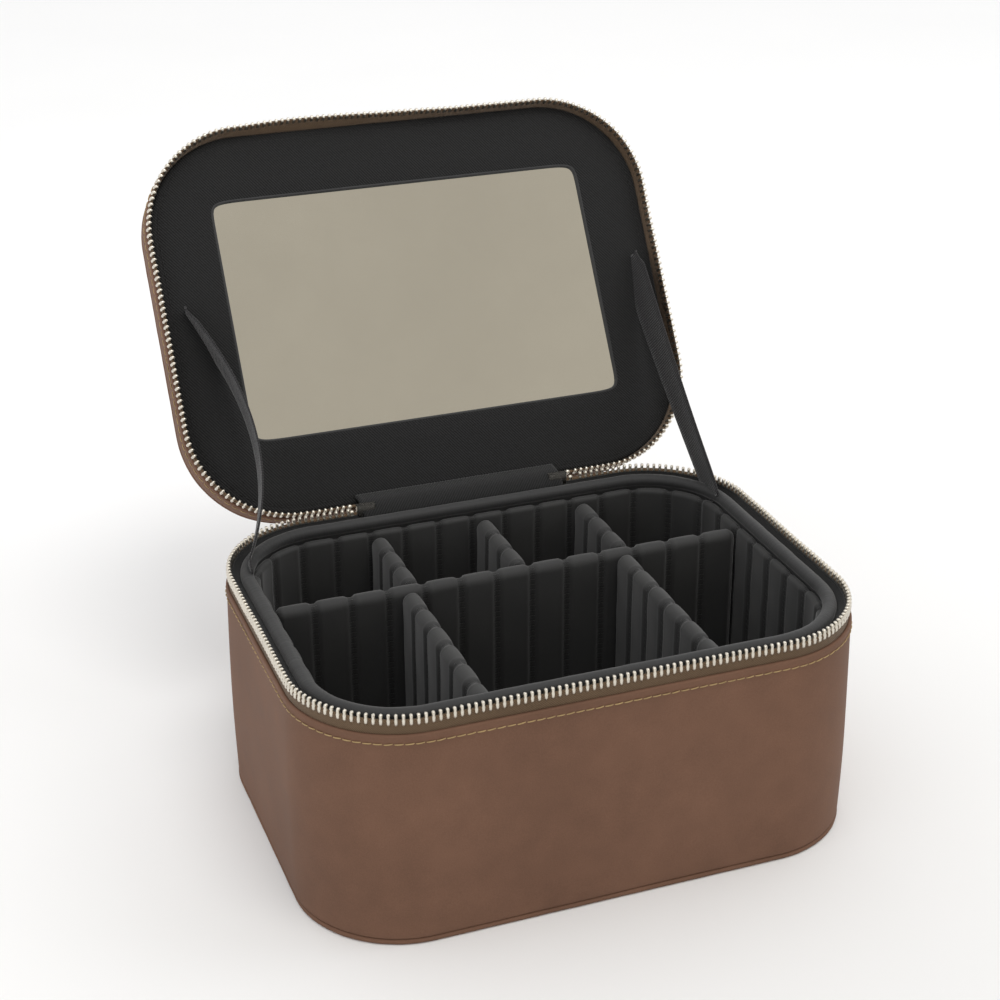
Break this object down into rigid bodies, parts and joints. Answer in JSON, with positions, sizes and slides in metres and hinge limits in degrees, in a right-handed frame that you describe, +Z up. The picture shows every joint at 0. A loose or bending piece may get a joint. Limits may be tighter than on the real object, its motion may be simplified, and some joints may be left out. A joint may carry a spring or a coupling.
{
  "type": "makeup train case",
  "caption": "Zip-around leatherette makeup train case, open: mirror in the lid, two stay straps, padded lift-out dividers, top carry handle.",
  "frame": {"origin": "centre of the base's footprint, on the surface that the case stands on", "axes": "+X to the right seen from the front, +Y to the back where the lid is hinged, +Z up"},
  "size_m": [0.3004, 0.3715, 0.3183],
  "materials": {
    "brown_leather": "satin",
    "brown_tape": "matte",
    "silver_metal": "polished",
    "black_twill": "matte",
    "black_padded_fabric": "matte",
    "black_grosgrain": "matte",
    "foam": "matte",
    "stiffener_board": "matte",
    "mirror": "polished"
  },
  "bodies": {
    "base": {"base_leather_wall": "brown_leather", "base_bottom_leather": "brown_leather", "bottom_welt": "brown_leather", "base_bottom_board": "stiffener_board", "base_side_board": "stiffener_board", "base_zipper_tape": "brown_tape", "base_zipper_teeth": "silver_metal", "base_end_stops": "silver_metal", "base_rim_binding": "black_twill", "base_wall_padding": "foam", "inner_sleeve": "black_padded_fabric", "base_piping": "black_padded_fabric", "floor_pad": "black_padded_fabric", "ribbed_wall_lining": "black_padded_fabric", "hinge_leather": "brown_leather", "hinge_lining": "black_twill", "stay_strap_left": "black_grosgrain", "stay_strap_right": "black_grosgrain", "slider_left": "silver_metal", "slider_right": "silver_metal"},
    "lid": {"lid_leather_wall": "brown_leather", "lid_leather_top": "brown_leather", "lid_welt": "brown_leather", "lid_top_board": "stiffener_board", "lid_side_board": "stiffener_board", "lid_zipper_tape": "brown_tape", "lid_zipper_teeth": "silver_metal", "lid_end_stops": "silver_metal", "lid_lining_panel": "black_twill", "mirror_glass": "mirror", "mirror_backing": "stiffener_board", "lid_foam": "foam", "handle_tab_left": "brown_leather", "handle_tab_right": "brown_leather", "handle_rivets": "silver_metal"},
    "carry_handle": {"handle_grip": "brown_leather", "handle_ring_left": "silver_metal", "handle_ring_right": "silver_metal"},
    "left_zipper_pull": {"pull_ring_left": "silver_metal", "pull_tab_left": "brown_leather"},
    "right_zipper_pull": {"pull_ring_right": "silver_metal", "pull_tab_right": "brown_leather"},
    "long_divider_panel": {"long_divider": "black_padded_fabric"},
    "front_divider_left_panel": {"front_divider_left": "black_padded_fabric"},
    "front_divider_right_panel": {"front_divider_right": "black_padded_fabric"},
    "back_divider_left_panel": {"back_divider_left": "black_padded_fabric"},
    "back_divider_middle_panel": {"back_divider_middle": "black_padded_fabric"},
    "back_divider_right_panel": {"back_divider_right": "black_padded_fabric"}
  },
  "joints": [
    {"name": "lid_hinge", "type": "hinge", "parent": "base", "child": "lid", "pos_m": [0, 0.1125, 0.129], "axis": [-1, 0, 0], "range_deg": [-122.4, 0], "deforming": ["hinge_leather", "hinge_lining", "stay_strap_left", "stay_strap_right"]},
    {"name": "handle_swing", "type": "hinge", "parent": "lid", "child": "carry_handle", "pos_m": [0, 0.20267, 0.20502], "axis": [1, 0, 0], "range_deg": [-4, 125]},
    {"name": "left_pull_swing", "type": "hinge", "parent": "base", "child": "left_zipper_pull", "pos_m": [-0.058, 0.11585, 0.1251], "axis": [1, 0, 0], "range_deg": [0, 50]},
    {"name": "right_pull_swing", "type": "hinge", "parent": "base", "child": "right_zipper_pull", "pos_m": [0.058, 0.11585, 0.1251], "axis": [1, 0, 0], "range_deg": [0, 50]},
    {"name": "long_divider_lift", "type": "slide", "parent": "base", "child": "long_divider_panel", "axis": [0, 0, 1], "range_m": [0, 0.112]},
    {"name": "front_divider_left_lift", "type": "slide", "parent": "base", "child": "front_divider_left_panel", "axis": [0, 0, 1], "range_m": [0, 0.112]},
    {"name": "front_divider_right_lift", "type": "slide", "parent": "base", "child": "front_divider_right_panel", "axis": [0, 0, 1], "range_m": [0, 0.112]},
    {"name": "back_divider_left_lift", "type": "slide", "parent": "base", "child": "back_divider_left_panel", "axis": [0, 0, 1], "range_m": [0, 0.112]},
    {"name": "back_divider_middle_lift", "type": "slide", "parent": "base", "child": "back_divider_middle_panel", "axis": [0, 0, 1], "range_m": [0, 0.112]},
    {"name": "back_divider_right_lift", "type": "slide", "parent": "base", "child": "back_divider_right_panel", "axis": [0, 0, 1], "range_m": [0, 0.112]}
  ]
}
